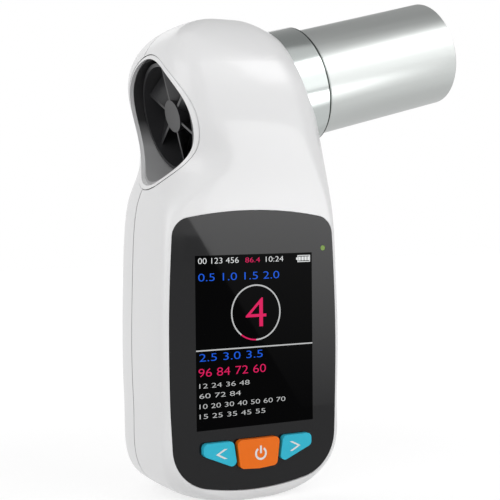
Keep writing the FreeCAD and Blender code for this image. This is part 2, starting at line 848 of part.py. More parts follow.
vane_start = "(sizes.front_swirler_at + sizes.swirler_length + sizes.rear_swirler_at - sizes.vane_length) / 2"
vane_plate = primitive("Part::Box", "vane_plate", {
    "Length": "2 * sizes.vane_half_width", "Width": "sizes.vane_thickness", "Height": "sizes.vane_length"},
    ("-sizes.vane_half_width", "-sizes.vane_thickness / 2", vane_start))
vane_sleeve = primitive("Part::Cylinder", "vane_sleeve", {
    "Radius": "sizes.vane_sleeve", "Height": "sizes.vane_length"}, ("0", "0", vane_start))
vane_bore = primitive("Part::Cylinder", "vane_bore", {
    "Radius": "sizes.shaft_radius", "Height": "sizes.vane_length"}, ("0", "0", vane_start))
vane_form = doc.addObject("Part::Fuse", "vane_form")
vane_form.Base = vane_plate
vane_form.Tool = vane_sleeve
vane = doc.addObject("Part::Cut", "rotor_vane")
vane.Base = vane_form
vane.Tool = vane_bore
vane.Label = "rotor_vane"
vane.Placement = flow_place

turned("seal_ring", ring_points("turbine_outer", "turbine_inner", "turbine_end + fit_gap",
                                "liner_end - fit_gap"))


# Rotation pickup under the liner

def sensor_board_shape():
    board = Part.makeBox(size("sensor_board_thickness"), size("sensor_board_length"),
                         size("sensor_board_width"))
    board.translate(Vector(sensor_base - size("sensor_board_thickness"),
                           -size("sensor_board_length") / 2,
                           size("sensor_at") - size("sensor_board_width") / 2))
    return board


for label, side in sensor_sides.items():
    make(label, sensor_lamp(side, size("sensor_lamp_radius"), sensor_top, sensor_base))
make("sensor_board", sensor_board_shape(), flow_place)


# Front panel, screen and buttons

def front_panel_shape():
    panel = slab(panel_outline(0.0, panel_face), size("panel_thickness"))
    cuts = [button_prism(name, size("button_gap"), panel_face - 1, panel_back + 1)
            for name in button_names]
    cuts.append(stud(size("light_pipe_radius") + fit, size("lamp_across"), size("lamp_up"),
                     panel_face - 1, panel_back + 1))
    return panel.cut(cuts)


make("front_panel", front_panel_shape())

module_base = ("-sizes.module_half_width", "-sizes.panel_face + sizes.panel_thickness",
               "sizes.module_bottom")
module = primitive("Part::Box", "display_module", {
    "Length": "2 * sizes.module_half_width", "Width": "sizes.module_thickness",
    "Height": "sizes.module_top - sizes.module_bottom"}, module_base)
module.Label = "display_module"

module_back = "-sizes.panel_face + sizes.panel_thickness + sizes.module_thickness"
frame_depth = "sizes.panel_face - sizes.panel_thickness - sizes.module_thickness - sizes.board_front"
frame_block = primitive("Part::Box", "frame_block", {
    "Length": "2 * sizes.module_half_width", "Width": frame_depth,
    "Height": "sizes.module_top - sizes.module_bottom"},
    ("-sizes.module_half_width", module_back, "sizes.module_bottom"))
frame_window = primitive("Part::Box", "frame_window", {
    "Length": "2 * sizes.module_half_width - 2 * sizes.frame_rim", "Width": frame_depth,
    "Height": "sizes.module_top - sizes.module_bottom - 2 * sizes.frame_rim"},
    ("-sizes.module_half_width + sizes.frame_rim", module_back, "sizes.module_bottom + sizes.frame_rim"))
frame = doc.addObject("Part::Cut", "display_frame")
frame.Label = "display_frame"
frame.Base = frame_block
frame.Tool = frame_window

button_face = panel_face - size("button_stand")
flange_front = wall_back + size("button_flange_gap")
flange_back = flange_front + size("button_flange_thickness")
switch_top = board_front - size("switch_height")
switch_hole_floor = board_front - size("switch_floor")

for name in button_names:
    cap = button_prism(name, 0.0, button_face, flange_back)
    make(f"button_{name}", cap.fuse(button_prism(name, size("button_flange"), flange_front, flange_back)))
    at_x, at_z = switch_places[name]
    make(f"plunger_{name}", stud(size("plunger_radius"), at_x, at_z, flange_back,
                                 switch_top + size("plunger_depth")))
    half = size("switch_size") / 2
    case = block(at_x - half, at_x + half, switch_top, board_front, at_z - half, at_z + half)
    make(f"switch_{name}", case.cut(stud(size("plunger_radius") + fit, at_x, at_z, switch_top,
                                         switch_hole_floor)))


# Main board and what is soldered to it

def main_board_shape():
    half = size("board_half_width")
    corner = size("board_corner")
    low = size("board_bottom")
    high = size("board_top")
    board = block(-half, half, board_front, board_back, low, high)
    lower_corners = [edge for edge in board.Edges
                     if abs(edge.BoundBox.ZMin - low) < fit and edge.BoundBox.YLength > 1
                     and edge.BoundBox.ZLength < fit]
    board = board.makeFillet(corner, lower_corners)
    notches = [stud(size("boss_radius") + size("board_notch_gap"), at_x, at_z,
                    board_front - 1, board_back + 1)
               for at_x, at_z in screw_places if at_z < 0]
    return board.cut(notches)


make("main_board", main_board_shape())
lamp_half = size("lamp_height")
make("status_lamp", block(size("lamp_across") - lamp_half, size("board_half_width"),
                          board_front - size("lamp_height"), board_front,
                          size("lamp_up") - lamp_half, size("lamp_up") + lamp_half))
make("light_pipe", stud(size("light_pipe_radius"), size("lamp_across"), size("lamp_up"), panel_face,
                        board_front - size("lamp_height")))

board_back_formula = "-sizes.board_front + sizes.board_thickness"
radio = primitive("Part::Box", "wireless_module", {
    "Length": "sizes.radio_width", "Width": "sizes.radio_height", "Height": "sizes.radio_length"},
    ("-sizes.radio_width / 2", board_back_formula, "sizes.radio_up - sizes.radio_length / 2"))
radio.Label = "wireless_module"

make("buzzer", stud(size("buzzer_radius"), size("buzzer_across"), size("buzzer_up"), board_back,
                    board_back + size("buzzer_height")))


def charging_port_shape():
    half = size("port_width") / 2
    low = bottom + size("port_recess")
    shell = block(-half, half, board_back, board_back + size("port_height"), low,
                  low + size("port_length"))
    lip = size("port_wall")
    side = size("port_tongue_side")
    face = size("port_tongue_face")
    mouth = block(-half + lip, half - lip, board_back + lip, board_back + size("port_height") - lip,
                  low, low + size("port_length") - 2 * lip)
    tongue = block(-half + side, half - side, board_back + face,
                   board_back + size("port_height") - face, low + lip, low + size("port_length") - lip)
    return shell.cut(mouth).fuse(tongue)


make("charging_port", charging_port_shape())

battery = primitive("Part::Box", "battery_pack", {
    "Length": "sizes.battery_width", "Width": "sizes.battery_thickness", "Height": "sizes.battery_length"},
    ("-sizes.battery_width / 2",
     "sizes.handle_back - sizes.wall - 2 * sizes.battery_gap - sizes.battery_thickness",
     "sizes.battery_up - sizes.battery_length / 2"))
battery.Label = "battery_pack"

doc.recompute()

nodes = [
    "front_shell", "rear_shell", "shell_screws", "turbine_bezel", "flow_liner",
    "mouthpiece_collar", "mouthpiece", "turbine_tube", "front_swirler", "rear_swirler",
    "front_bearing", "rear_bearing", "rotor_shaft", "rotor_vane", "seal_ring",
    "infrared_emitter", "infrared_receiver", "sensor_board", "front_panel", "display_module",
    "display_frame", "button_left", "button_power", "button_right", "plunger_left",
    "plunger_power", "plunger_right", "switch_left", "switch_power", "switch_right",
    "main_board", "status_lamp", "light_pipe", "wireless_module", "buzzer", "charging_port",
    "battery_pack",
]
for item in doc.Objects:
    if "Invalid" in item.State or "Error" in item.State:
        raise RuntimeError(f"{item.Label} failed: {item.State}")
os.makedirs("parts", exist_ok=True)
for label in nodes:
    shape = doc.getObjectsByLabel(label)[0].Shape
    if shape.isNull() or not shape.isValid():
        raise RuntimeError(f"{label} has no valid shape")
    shape.exportStep(f"parts/{label}.step")
    print(label, len(shape.Solids), round(shape.Volume, 1))
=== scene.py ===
import json
import math
import bmesh
import bpy
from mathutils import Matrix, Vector
from mathutils.bvhtree import BVHTree


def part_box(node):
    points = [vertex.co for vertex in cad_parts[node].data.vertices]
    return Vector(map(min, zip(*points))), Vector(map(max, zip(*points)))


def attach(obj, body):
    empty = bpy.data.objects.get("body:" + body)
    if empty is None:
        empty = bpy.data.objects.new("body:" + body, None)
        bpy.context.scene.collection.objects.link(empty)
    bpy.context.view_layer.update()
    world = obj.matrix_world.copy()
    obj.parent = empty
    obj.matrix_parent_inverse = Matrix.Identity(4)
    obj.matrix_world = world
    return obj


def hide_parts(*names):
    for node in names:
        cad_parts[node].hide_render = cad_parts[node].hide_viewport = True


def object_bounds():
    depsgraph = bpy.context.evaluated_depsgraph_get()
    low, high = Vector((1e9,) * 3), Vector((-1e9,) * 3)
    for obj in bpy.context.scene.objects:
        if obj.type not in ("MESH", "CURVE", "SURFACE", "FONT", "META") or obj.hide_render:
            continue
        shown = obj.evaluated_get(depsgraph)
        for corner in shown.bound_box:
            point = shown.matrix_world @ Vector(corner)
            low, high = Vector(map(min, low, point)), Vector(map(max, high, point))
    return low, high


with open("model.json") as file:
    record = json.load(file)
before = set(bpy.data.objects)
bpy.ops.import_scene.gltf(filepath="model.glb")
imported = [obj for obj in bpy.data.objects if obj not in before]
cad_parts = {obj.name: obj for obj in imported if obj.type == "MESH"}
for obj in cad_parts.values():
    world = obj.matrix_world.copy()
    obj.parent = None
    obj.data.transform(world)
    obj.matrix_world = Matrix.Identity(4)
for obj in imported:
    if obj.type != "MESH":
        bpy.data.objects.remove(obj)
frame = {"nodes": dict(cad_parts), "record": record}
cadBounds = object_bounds()
nodes = frame["nodes"]
scene = bpy.context.scene
print("frame loaded:", len(nodes), "nodes")

# The flow axis, as in the record: it rises from the turbine's opening to the mouthpiece.
flow = {"axisHeight": 0.0684, "tilt": math.radians(14.2)}
flowDirection = Vector((math.cos(flow["tilt"]), 0, math.sin(flow["tilt"])))


# Small helpers for node trees

def feed(tree, value, socket):
    # another node's output is linked to the socket, and a plain value is set on it
    if isinstance(value, bpy.types.NodeSocket):
        tree.links.new(value, socket)
    else:
        socket.default_value = value


def addMath(tree, operation, first, second=0.0):
    node = tree.nodes.new("ShaderNodeMath")
    node.operation = operation
    feed(tree, first, node.inputs[0])
    feed(tree, second, node.inputs[1])
    return node.outputs[0]


def addNoise(tree, vector, scale, detail):
    node = tree.nodes.new("ShaderNodeTexNoise")
    feed(tree, vector, node.inputs["Vector"])
    feed(tree, scale, node.inputs["Scale"])
    feed(tree, detail, node.inputs["Detail"])
    return node.outputs["Fac"]


def addRange(tree, value, fromLow, fromHigh, toLow=0.0, toHigh=1.0):
    node = tree.nodes.new("ShaderNodeMapRange")
    feed(tree, value, node.inputs["Value"])
    feed(tree, fromLow, node.inputs["From Min"])
    feed(tree, fromHigh, node.inputs["From Max"])
    feed(tree, toLow, node.inputs["To Min"])
    feed(tree, toHigh, node.inputs["To Max"])
    return node.outputs["Result"]


def addColorMix(tree, share, first, second):
    node = tree.nodes.new("ShaderNodeMix")
    node.data_type = "RGBA"
    feed(tree, share, node.inputs["Factor"])
    feed(tree, first, node.inputs["A"])
    feed(tree, second, node.inputs["B"])
    return node.outputs["Result"]


def objectPlace(tree):
    return tree.nodes.new("ShaderNodeTexCoord").outputs["Object"]


def splitVector(tree, vector):
    node = tree.nodes.new("ShaderNodeSeparateXYZ")
    feed(tree, vector, node.inputs["Vector"])
    return node.outputs


# Node groups shared by several finishes

def newGroup(name, inputs, outputs):
    group = bpy.data.node_groups.new(name, "ShaderNodeTree")
    for label, kind, value in inputs:
        socket = group.interface.new_socket(label, in_out="INPUT", socket_type=kind)
        socket.default_value = value
    for label, kind in outputs:
        group.interface.new_socket(label, in_out="OUTPUT", socket_type=kind)
    return group, group.nodes.new("NodeGroupInput").outputs, group.nodes.new("NodeGroupOutput").inputs


grain = {"detail": 1.0, "driftScale": 38.0, "driftDetail": 3.0, "bumpDistance": 0.00003}


def buildMouldedGrain():
    # fine spark-eroded grain with slow drifts in tone and gloss, as on moulded plastic
    group, given, result = newGroup(
        "mouldedGrain",
        [("Color", "NodeSocketColor", (0.8, 0.8, 0.8, 1)), ("Grain Size", "NodeSocketFloat", 2500.0),
         ("Roughness", "NodeSocketFloat", 0.35), ("Gloss Drift", "NodeSocketFloat", 0.06),
         ("Tone Drift", "NodeSocketFloat", 0.03)],
        [("Color", "NodeSocketColor"), ("Roughness", "NodeSocketFloat"), ("Height", "NodeSocketFloat")])
    place = objectPlace(group)
    feed(group, addNoise(group, place, given["Grain Size"], grain["detail"]), result["Height"])
    drift = addNoise(group, place, grain["driftScale"], grain["driftDetail"])
    centred = addMath(group, "SUBTRACT", drift, 0.5)
    gloss = addMath(group, "MULTIPLY", centred, given["Gloss Drift"])
    feed(group, addMath(group, "ADD", given["Roughness"], gloss), result["Roughness"])
    tone = addMath(group, "MULTIPLY", centred, given["Tone Drift"])
    shade = group.nodes.new("ShaderNodeHueSaturation")
    feed(group, addMath(group, "ADD", 1.0, tone), shade.inputs["Value"])
    feed(group, given["Color"], shade.inputs["Color"])
    feed(group, shade.outputs["Color"], result["Color"])
    return group


wipes = {"slant": 35, "stretch": 0.22, "scale": 160.0, "detail": 5.0, "faint": 0.48, "strong": 0.72}


def buildHandlingMarks():
    # faint wipe marks: long soft streaks that change only the gloss
    group, given, result = newGroup(
        "handlingMarks",
        [("Roughness", "NodeSocketFloat", 0.1), ("Marks", "NodeSocketFloat", 0.08)],
        [("Roughness", "NodeSocketFloat")])
    slanted = group.nodes.new("ShaderNodeMapping")
    slanted.inputs["Rotation"].default_value = (0, math.radians(wipes["slant"]), 0)
    slanted.inputs["Scale"].default_value = (1.0, 1.0, wipes["stretch"])
    feed(group, objectPlace(group), slanted.inputs["Vector"])
    streaks = addNoise(group, slanted.outputs["Vector"], wipes["scale"], wipes["detail"])
    seen = addRange(group, streaks, wipes["faint"], wipes["strong"])
    marks = addMath(group, "MULTIPLY", seen, given["Marks"])
    feed(group, addMath(group, "ADD", given["Roughness"], marks), result["Roughness"])
    return group


lineGrain = {"scale": 1.0, "detail": 4.0, "bumpDistance": 0.00002}


def buildFlowLines():
    # lines round the flow axis or along it, for coated and turned metal surfaces
    group, given, result = newGroup(
        "flowLines",
        [("Along", "NodeSocketFloat", 900.0), ("Round", "NodeSocketFloat", 20.0),
         ("Roughness", "NodeSocketFloat", 0.25), ("Spread", "NodeSocketFloat", 0.1)],
        [("Roughness", "NodeSocketFloat"), ("Height", "NodeSocketFloat"), ("Mask", "NodeSocketFloat")])
    turned = group.nodes.new("ShaderNodeMapping")
    turned.inputs["Rotation"].default_value = (0, flow["tilt"], 0)
    feed(group, objectPlace(group), turned.inputs["Vector"])
    parts = splitVector(group, turned.outputs["Vector"])
    scaled = group.nodes.new("ShaderNodeCombineXYZ")
    for axis, pitch in (("X", "Along"), ("Y", "Round"), ("Z", "Round")):
        feed(group, addMath(group, "MULTIPLY", parts[axis], given[pitch]), scaled.inputs[axis])
    lines = addNoise(group, scaled.outputs["Vector"], lineGrain["scale"], lineGrain["detail"])
    spread = addMath(group, "MULTIPLY", addMath(group, "SUBTRACT", lines, 0.5), given["Spread"])
    feed(group, addMath(group, "ADD", given["Roughness"], spread), result["Roughness"])
    feed(group, lines, result["Height"])
    feed(group, lines, result["Mask"])
    return group


def buildToneChange():
    # a second tone by the distance from a plane, such as in a groove or past an edge; in this script it
    # paints shade
    group, given, result = newGroup(
        "toneChange",
        [("Color", "NodeSocketColor", (0.8, 0.8, 0.8, 1)), ("Tone", "NodeSocketColor", (0.1, 0.1, 0.1, 1)),
         ("Direction", "NodeSocketVector", (0, 0, 1)), ("Plane", "NodeSocketFloat", 0.0),
         ("Start", "NodeSocketFloat", 0.0), ("End", "NodeSocketFloat", 1.0)],
        [("Color", "NodeSocketColor")])
    along = group.nodes.new("ShaderNodeVectorMath")
    along.operation = "DOT_PRODUCT"
    feed(group, objectPlace(group), along.inputs[0])
    feed(group, given["Direction"], along.inputs[1])
    offset = addMath(group, "SUBTRACT", along.outputs["Value"], given["Plane"])
    share = addRange(group, addMath(group, "ABSOLUTE", offset), given["Start"], given["End"])
    feed(group, addColorMix(group, share, given["Color"], given["Tone"]), result["Color"])
    return group


mouldedGrain = buildMouldedGrain()
handlingMarks = buildHandlingMarks()
flowLines = buildFlowLines()
toneChange = buildToneChange()


# The kinds of finish

coatRoughness = 0.05


def newMaterial(name, color, metallic=0.0, coat=0.0, specular=0.5):
    material = bpy.data.materials.new(name)
    material.use_nodes = True
    shader = material.node_tree.nodes["Principled BSDF"]
    shader.inputs["Base Color"].default_value = (*color, 1)
    shader.inputs["Metallic"].default_value = metallic
    shader.inputs["Coat Weight"].default_value = coat
    shader.inputs["Coat Roughness"].default_value = coatRoughness
    shader.inputs["Specular IOR Level"].default_value = specular
    material.diffuse_color = (*color, 1)
    return material, shader


def addGroup(material, group, **values):
    node = material.node_tree.nodes.new("ShaderNodeGroup")
    node.node_tree = group
    for label, value in values.items():
        node.inputs[label.replace("_", " ")].default_value = value
    return node


def addBump(material, shader, height, strength, distance):
    tree = material.node_tree
    bump = tree.nodes.new("ShaderNodeBump")
    bump.inputs["Strength"].default_value = strength
    bump.inputs["Distance"].default_value = distance
    feed(tree, height, bump.inputs["Height"])
    feed(tree, bump.outputs["Normal"], shader.inputs["Normal"])


def mouldedFinish(name, color, roughness, grainSize=2500.0, bumpStrength=0.15, coat=0.0,
                  toneDrift=0.03, glossDrift=0.06, specular=0.5):
    material, shader = newMaterial(name, color, coat=coat, specular=specular)
    grained = addGroup(material, mouldedGrain, Color=(*color, 1), Grain_Size=grainSize,
                       Roughness=roughness, Gloss_Drift=glossDrift, Tone_Drift=toneDrift)
    feed(material.node_tree, grained.outputs["Color"], shader.inputs["Base Color"])
    feed(material.node_tree, grained.outputs["Roughness"], shader.inputs["Roughness"])
    addBump(material, shader, grained.outputs["Height"], bumpStrength, grain["bumpDistance"])
    return material


def flowFinish(name, color, roughness, along, around, metallic, spread=0.1, bumpStrength=0.05, dark=0.92):
    # metal, or a metal coat, whose fine lines are a little darker
    material, shader = newMaterial(name, color, metallic=metallic)
    tree = material.node_tree
    lined = addGroup(material, flowLines, Along=along, Round=around, Roughness=roughness, Spread=spread)
    feed(tree, lined.outputs["Roughness"], shader.inputs["Roughness"])
    darker = (*[channel * dark for channel in color], 1)
    feed(tree, addColorMix(tree, lined.outputs["Mask"], darker, (*color, 1)), shader.inputs["Base Color"])
    addBump(material, shader, lined.outputs["Height"], bumpStrength, lineGrain["bumpDistance"])
    return material


def glassFinish(name, color, roughness, marks, specular):
    # polished glass or window over something dark, with faint wipe marks
    material, shader = newMaterial(name, color, specular=specular)
    wiped = addGroup(material, handlingMarks, Roughness=roughness, Marks=marks)
    feed(material.node_tree, wiped.outputs["Roughness"], shader.inputs["Roughness"])
    return material


pixelRows = {
    "scale": 2200.0, "dim": 0.82, "ground": (0.001, 0.001, 0.001), "roughness": 0.2, "specular": 0.05,
}


def litFinish(name, color, glow):
    # a lit part of the picture: fine pixel rows vary its light a little
    material, shader = newMaterial(name, pixelRows["ground"], specular=pixelRows["specular"])
    tree = material.node_tree
    rows = tree.nodes.new("ShaderNodeTexWave")
    rows.wave_type = "BANDS"
    rows.bands_direction = "Z"
    rows.inputs["Scale"].default_value = pixelRows["scale"]
    feed(tree, objectPlace(tree), rows.inputs["Vector"])
    dimmer = (*[channel * pixelRows["dim"] for channel in color], 1)
    feed(tree, addColorMix(tree, rows.outputs["Fac"], dimmer, (*color, 1)), shader.inputs["Emission Color"])
    shader.inputs["Emission Strength"].default_value = glow
    shader.inputs["Roughness"].default_value = pixelRows["roughness"]
    return material


def secondTone(material, tone, direction, plane, start, end):
    # the finish takes another tone between two distances from a plane, here a painted shade
    tree = material.node_tree
    shader = tree.nodes["Principled BSDF"]
    first = shader.inputs["Base Color"].links[0].from_socket
    change = addGroup(material, toneChange, Tone=(*tone, 1), Direction=direction, Plane=plane,
                      Start=start, End=end)
    feed(tree, first, change.inputs["Color"])
    feed(tree, change.outputs["Color"], shader.inputs["Base Color"])
    return material


# The finish of each material slot

# the groove's painted shade fades in over its band, given in shares of the seam's width
shellSeam = {
    "at": 0.003, "width": 0.00024, "depth": 0.001, "groove": (0.16, 0.16, 0.165), "band": (1.05, 0.8),
    "sharpAngle": 38, "areaWeight": 80, "tolerance": 2e-6, "cutTolerance": 1e-7, "leastArea": 1e-12,
    "steepest": 0.8, "probe": 0.0002,
}


def housingWhite():
    # painted shade: the groove of the parting line is darkened where shade falls in it
    material = mouldedFinish("housingWhite", (0.85, 0.85, 0.855), roughness=0.32, bumpStrength=0.08,
                             coat=0.35)
    start, end = [shellSeam["width"] * share for share in shellSeam["band"]]
    return secondTone(material, shellSeam["groove"], (0, 1, 0), shellSeam["at"], start, end)


def trimWhite():
    return mouldedFinish("trimWhite", (0.87, 0.87, 0.875), roughness=0.26, bumpStrength=0.05, coat=0.4)


# the throat's nearly black tone is painted shade; the ramp's grey is the liner's own colour
liner = {"throat": (0.02, 0.02, 0.021), "ramp": (0.36, 0.36, 0.365), "rampTop": 0.056, "throatLow": 0.064}


def linerGrey():
    # nearly black where it guides the cartridge, which is painted shade, and grey on the ramp below it
    material = mouldedFinish("linerGrey", liner["ramp"], roughness=0.5, grainSize=1800.0, bumpStrength=0.4)
    return secondTone(material, liner["throat"], (0, 0, 1), 0.0, liner["rampTop"], liner["throatLow"])


# the line's tone is painted shade in the joint
collarJointShade = {"tone": (0.02, 0.024, 0.022), "at": 0.04195, "start": 0.00034, "end": 0.00024}


def collarSilver():
    # painted shade: a fine dark line round the edge where the mouthpiece goes in, where the joint's shadow
    # falls
    material = flowFinish("collarSilver", (0.50, 0.53, 0.52), roughness=0.16, along=60.0, around=500.0,
                          metallic=1.0, spread=0.12)
    return secondTone(material, collarJointShade["tone"], flowDirection, collarJointShade["at"],
                      collarJointShade["start"], collarJointShade["end"])


def mouthpieceSilver():
    return flowFinish("mouthpieceSilver", (0.53, 0.55, 0.54), roughness=0.34, along=12.0, around=420.0,
                      metallic=0.85, spread=0.14)


def turbineBlack():
    return mouldedFinish("turbineBlack", (0.028, 0.028, 0.03), roughness=0.3)


def vaneBlack():
    return mouldedFinish("vaneBlack", (0.02, 0.02, 0.02), roughness=0.6, grainSize=3500.0, bumpStrength=0.3)


def steelFine():
    return flowFinish("steelFine", (0.56, 0.57, 0.58), roughness=0.3, along=1500.0, around=1500.0,
                      metallic=1.0)


def bearingBrass():
    return flowFinish("bearingBrass", (0.66, 0.5, 0.2), roughness=0.25, along=4000.0, around=400.0,
                      metallic=1.0)


def sealRubber():
    return mouldedFinish("sealRubber", (0.03, 0.03, 0.03), roughness=0.7, grainSize=4000.0,
                         bumpStrength=0.4)


def sensorDark():
    return mouldedFinish("sensorDark", (0.04, 0.025, 0.05), roughness=0.12, bumpStrength=0.02, coat=0.6)


def boardGreen():
    return mouldedFinish("boardGreen", (0.015, 0.15, 0.06), roughness=0.3, grainSize=900.0,
                         bumpStrength=0.1, toneDrift=0.2)


def panelBlack():
    return glassFinish("panelBlack", (0.006, 0.006, 0.007), roughness=0.04, marks=0.05, specular=0.25)


def screenBlack():
    return glassFinish("screenBlack", (0.002, 0.002, 0.0025), roughness=0.1, marks=0.05, specular=0.1)


def pictureDark():
    return glassFinish("pictureDark", (0.0006, 0.0006, 0.0008), roughness=0.04, marks=0.04, specular=0.02)


def frameWhite():
    return mouldedFinish("frameWhite", (0.66, 0.66, 0.66), roughness=0.5)


def buttonFinish(name, color):
    return mouldedFinish(name, color, roughness=0.3, bumpStrength=0.06, toneDrift=0.06, specular=0.2)


def signWhite():
    return mouldedFinish("signWhite", (0.84, 0.84, 0.83), roughness=0.4, bumpStrength=0.05)


def switchBlack():
    return mouldedFinish("switchBlack", (0.04, 0.04, 0.042), roughness=0.5)


def moduleMetal():
    return flowFinish("moduleMetal", (0.55, 0.56, 0.57), roughness=0.3, along=900.0, around=60.0,
                      metallic=1.0)


def lampClear():
    return glassFinish("lampClear", (0.2, 0.33, 0.06), roughness=0.2, marks=0.05, specular=0.2)


def batteryFoil():
    return flowFinish("batteryFoil", (0.6, 0.62, 0.65), roughness=0.35, along=70.0, around=240.0,
                      metallic=0.9, spread=0.2, bumpStrength=0.2)


finishes = {
    "housing_white": housingWhite(), "trim_white": trimWhite(), "liner_grey": linerGrey(),
    "collar_silver": collarSilver(), "mouthpiece_silver": mouthpieceSilver(),
    "turbine_black": turbineBlack(), "vane_black": vaneBlack(), "steel": steelFine(),
    "bearing_brass": bearingBrass(), "seal_rubber": sealRubber(), "sensor_dark": sensorDark(),
    "board_green": boardGreen(), "panel_black": panelBlack(), "screen_black": screenBlack(),
    "frame_white": frameWhite(),
    "button_blue": buttonFinish("buttonBlue", (0.035, 0.54, 0.73)),
    "button_orange": buttonFinish("buttonOrange", (0.97, 0.185, 0.007)),
    "switch_black": switchBlack(), "module_metal": moduleMetal(), "lamp_clear": lampClear(),
    "battery_foil": batteryFoil(),
}
slotOfNode = {part["node"]: part["material_slot"] for part in frame["record"]["subparts"]}
bodyOfNode = {node: body for body, members in frame["record"]["behaviour"]["bodies"].items()
              for node in members}


def dress(obj, material):
    obj.data.materials.clear()
    obj.data.materials.append(material)
    for face in obj.data.polygons:
        face.material_index = 0


for name, obj in nodes.items():
    dress(obj, finishes[slotOfNode[name]])
print("finishes on all nodes")


# Pieces that stand for nodes, with smooth shading and fine joints

closeness = {"node": 1e-6, "figure": 1e-8}  # points nearer than this become one


def newObject(name, mesh):
    data = bpy.data.meshes.new(name)
    mesh.to_mesh(data)
    mesh.free()
    obj = bpy.data.objects.new(name, data)
    scene.collection.objects.link(obj)
    return obj


def addPiece(name, mesh, body, slot, material=None, standsFor=None):
    obj = newObject(name, mesh)
    dress(obj, material or finishes[slot])
    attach(obj, body)
    if standsFor:
        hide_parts(standsFor)
    return obj


def mergedCopy(name):
    # a node's loose triangles joined at their shared corners
    mesh = bmesh.new()
    mesh.from_mesh(nodes[name].data)
    bmesh.ops.remove_doubles(mesh, verts=mesh.verts, dist=closeness["node"])
    return mesh


def shadeSmooth(mesh, limit):
    for face in mesh.faces:
        face.smooth = True
    for edge in mesh.edges:
        edge.smooth = len(edge.link_faces) == 2 and edge.calc_face_angle(0.0) < math.radians(limit)


smoothNodes = {
    "sharpAngle": 32, "rimBand": 0.0001, "gaps": {"turbine_bezel": 0.00022},
    "names": ["turbine_bezel", "flow_liner", "mouthpiece_collar", "mouthpiece", "turbine_tube",
              "front_swirler", "rear_swirler", "front_bearing", "rear_bearing", "rotor_shaft",
              "front_panel", "button_left", "button_power", "button_right", "shell_screws",
              "light_pipe", "rotor_vane"],
}


def fromFlowAxis(point):
    # a point's square offset from the flow axis
    lifted = point - Vector((0, 0, flow["axisHeight"]))
    return lifted - flowDirection * lifted.dot(flowDirection)


def openGap(mesh, gap):
    # draws a piece's outermost wall in towards the flow axis, so that a fine joint shows round it
    reach = max(fromFlowAxis(vertex.co).length for vertex in mesh.verts)
    for vertex in mesh.verts:
        offset = fromFlowAxis(vertex.co)
        if offset.length > reach - smoothNodes["rimBand"]:
            vertex.co -= offset.normalized() * gap


def smoothCopies():
    # these nodes again, with their corners joined and their curved walls smooth
    for name in smoothNodes["names"]:
        mesh = mergedCopy(name)
        if name in smoothNodes["gaps"]:
            openGap(mesh, smoothNodes["gaps"][name])
        shadeSmooth(mesh, smoothNodes["sharpAngle"])
        words = name.split("_")
        label = words[0] + "".join(word.capitalize() for word in words[1:]) + "Finished"
        addPiece(label, mesh, bodyOfNode[name], slotOfNode[name], standsFor=name)


def outwardAt(vertex):
    # the way out of the shell at a point of its edge, from the walls that meet there
    outward = Vector((0, 0, 0))
    for face in vertex.link_faces:
        if abs(face.normal.y) < shellSeam["steepest"]:
            outward += Vector((face.normal.x, 0, face.normal.z)) * face.calc_area()
    if outward.length < shellSeam["leastArea"]:
        return None
    return outward.normalized()


def drawEdgeIn(mesh, walls):
    # only the outer wall's edge goes in: from the inner wall, the way out meets the outer one
    edge = [vertex for vertex in mesh.verts if abs(vertex.co.y - shellSeam["at"]) <= shellSeam["tolerance"]]
    for vertex in edge:
        outward = outwardAt(vertex)
        if outward and walls.ray_cast(vertex.co + outward * shellSeam["probe"], outward)[0] is None:
            vertex.co -= outward * shellSeam["depth"]


def evenNormals(obj):
    # normals weighted by area, so that slivers beside the parting line don't ripple
    modifier = obj.modifiers.new("evenNormals", "WEIGHTED_NORMAL")
    modifier.mode = "FACE_AREA"
    modifier.weight = shellSeam["areaWeight"]
    modifier.keep_sharp = True
    bpy.context.view_layer.update()
    finished = bpy.data.meshes.new_from_object(obj.evaluated_get(bpy.context.evaluated_depsgraph_get()))
    obj.modifiers.remove(modifier)
    plain, obj.data = obj.data, finished
    bpy.data.meshes.remove(plain)


def shellPiece(node, label, side):
    # the parting line: each shell's outer edge is drawn in along the seam
    mesh = mergedCopy(node)
    walls = BVHTree.FromBMesh(mesh)
    brink = shellSeam["at"] + side * shellSeam["width"]
    geometry = list(mesh.verts) + list(mesh.edges) + list(mesh.faces)
    bmesh.ops.bisect_plane(mesh, geom=geometry, dist=shellSeam["cutTolerance"],
                           plane_no=(0, 1, 0), plane_co=(0, brink, 0))
    drawEdgeIn(mesh, walls)
    shadeSmooth(mesh, shellSeam["sharpAngle"])
    for edge in mesh.edges:
        if all(abs(vertex.co.y - brink) < shellSeam["tolerance"] for vertex in edge.verts):
            edge.smooth = False
    evenNormals(addPiece(label, mesh, bodyOfNode[node], slotOfNode[node], standsFor=node))


smoothCopies()
shellPiece("front_shell", "frontShellFinished", -1)
shellPiece("rear_shell", "rearShellFinished", 1)
print("shells and turned pieces finished")


# Picture on the screen and signs on the buttons: thin plates just in front of their carriers

plates = {"stand": 0.00003, "thickness": 0.00003}


def plateDepth(carrier, level):
    # where a plate's back lies, in front of its carrier's face and the plates of lower levels
    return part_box(carrier)[0].y - plates["stand"] - level * plates["thickness"]


def addPlate(name, mesh, node, material):
    # flat faces get the plates' thickness, and the piece goes with a node's body
    made = bmesh.ops.extrude_face_region(mesh, geom=list(mesh.faces))
    moved = [item for item in made["geom"] if isinstance(item, bmesh.types.BMVert)]
    bmesh.ops.translate(mesh, verts=moved, vec=(0, -plates["thickness"], 0))
    bmesh.ops.recalc_face_normals(mesh, faces=mesh.faces)
    addPiece(name, mesh, bodyOfNode[node], slotOfNode[node], material=material)


def polygonPlate(name, outline, depth, node, material):
    # a plate from a closed outline (across, up)
    mesh = bmesh.new()
    mesh.faces.new([mesh.verts.new((across, depth, up)) for across, up in outline])
    addPlate(name, mesh, node, material)


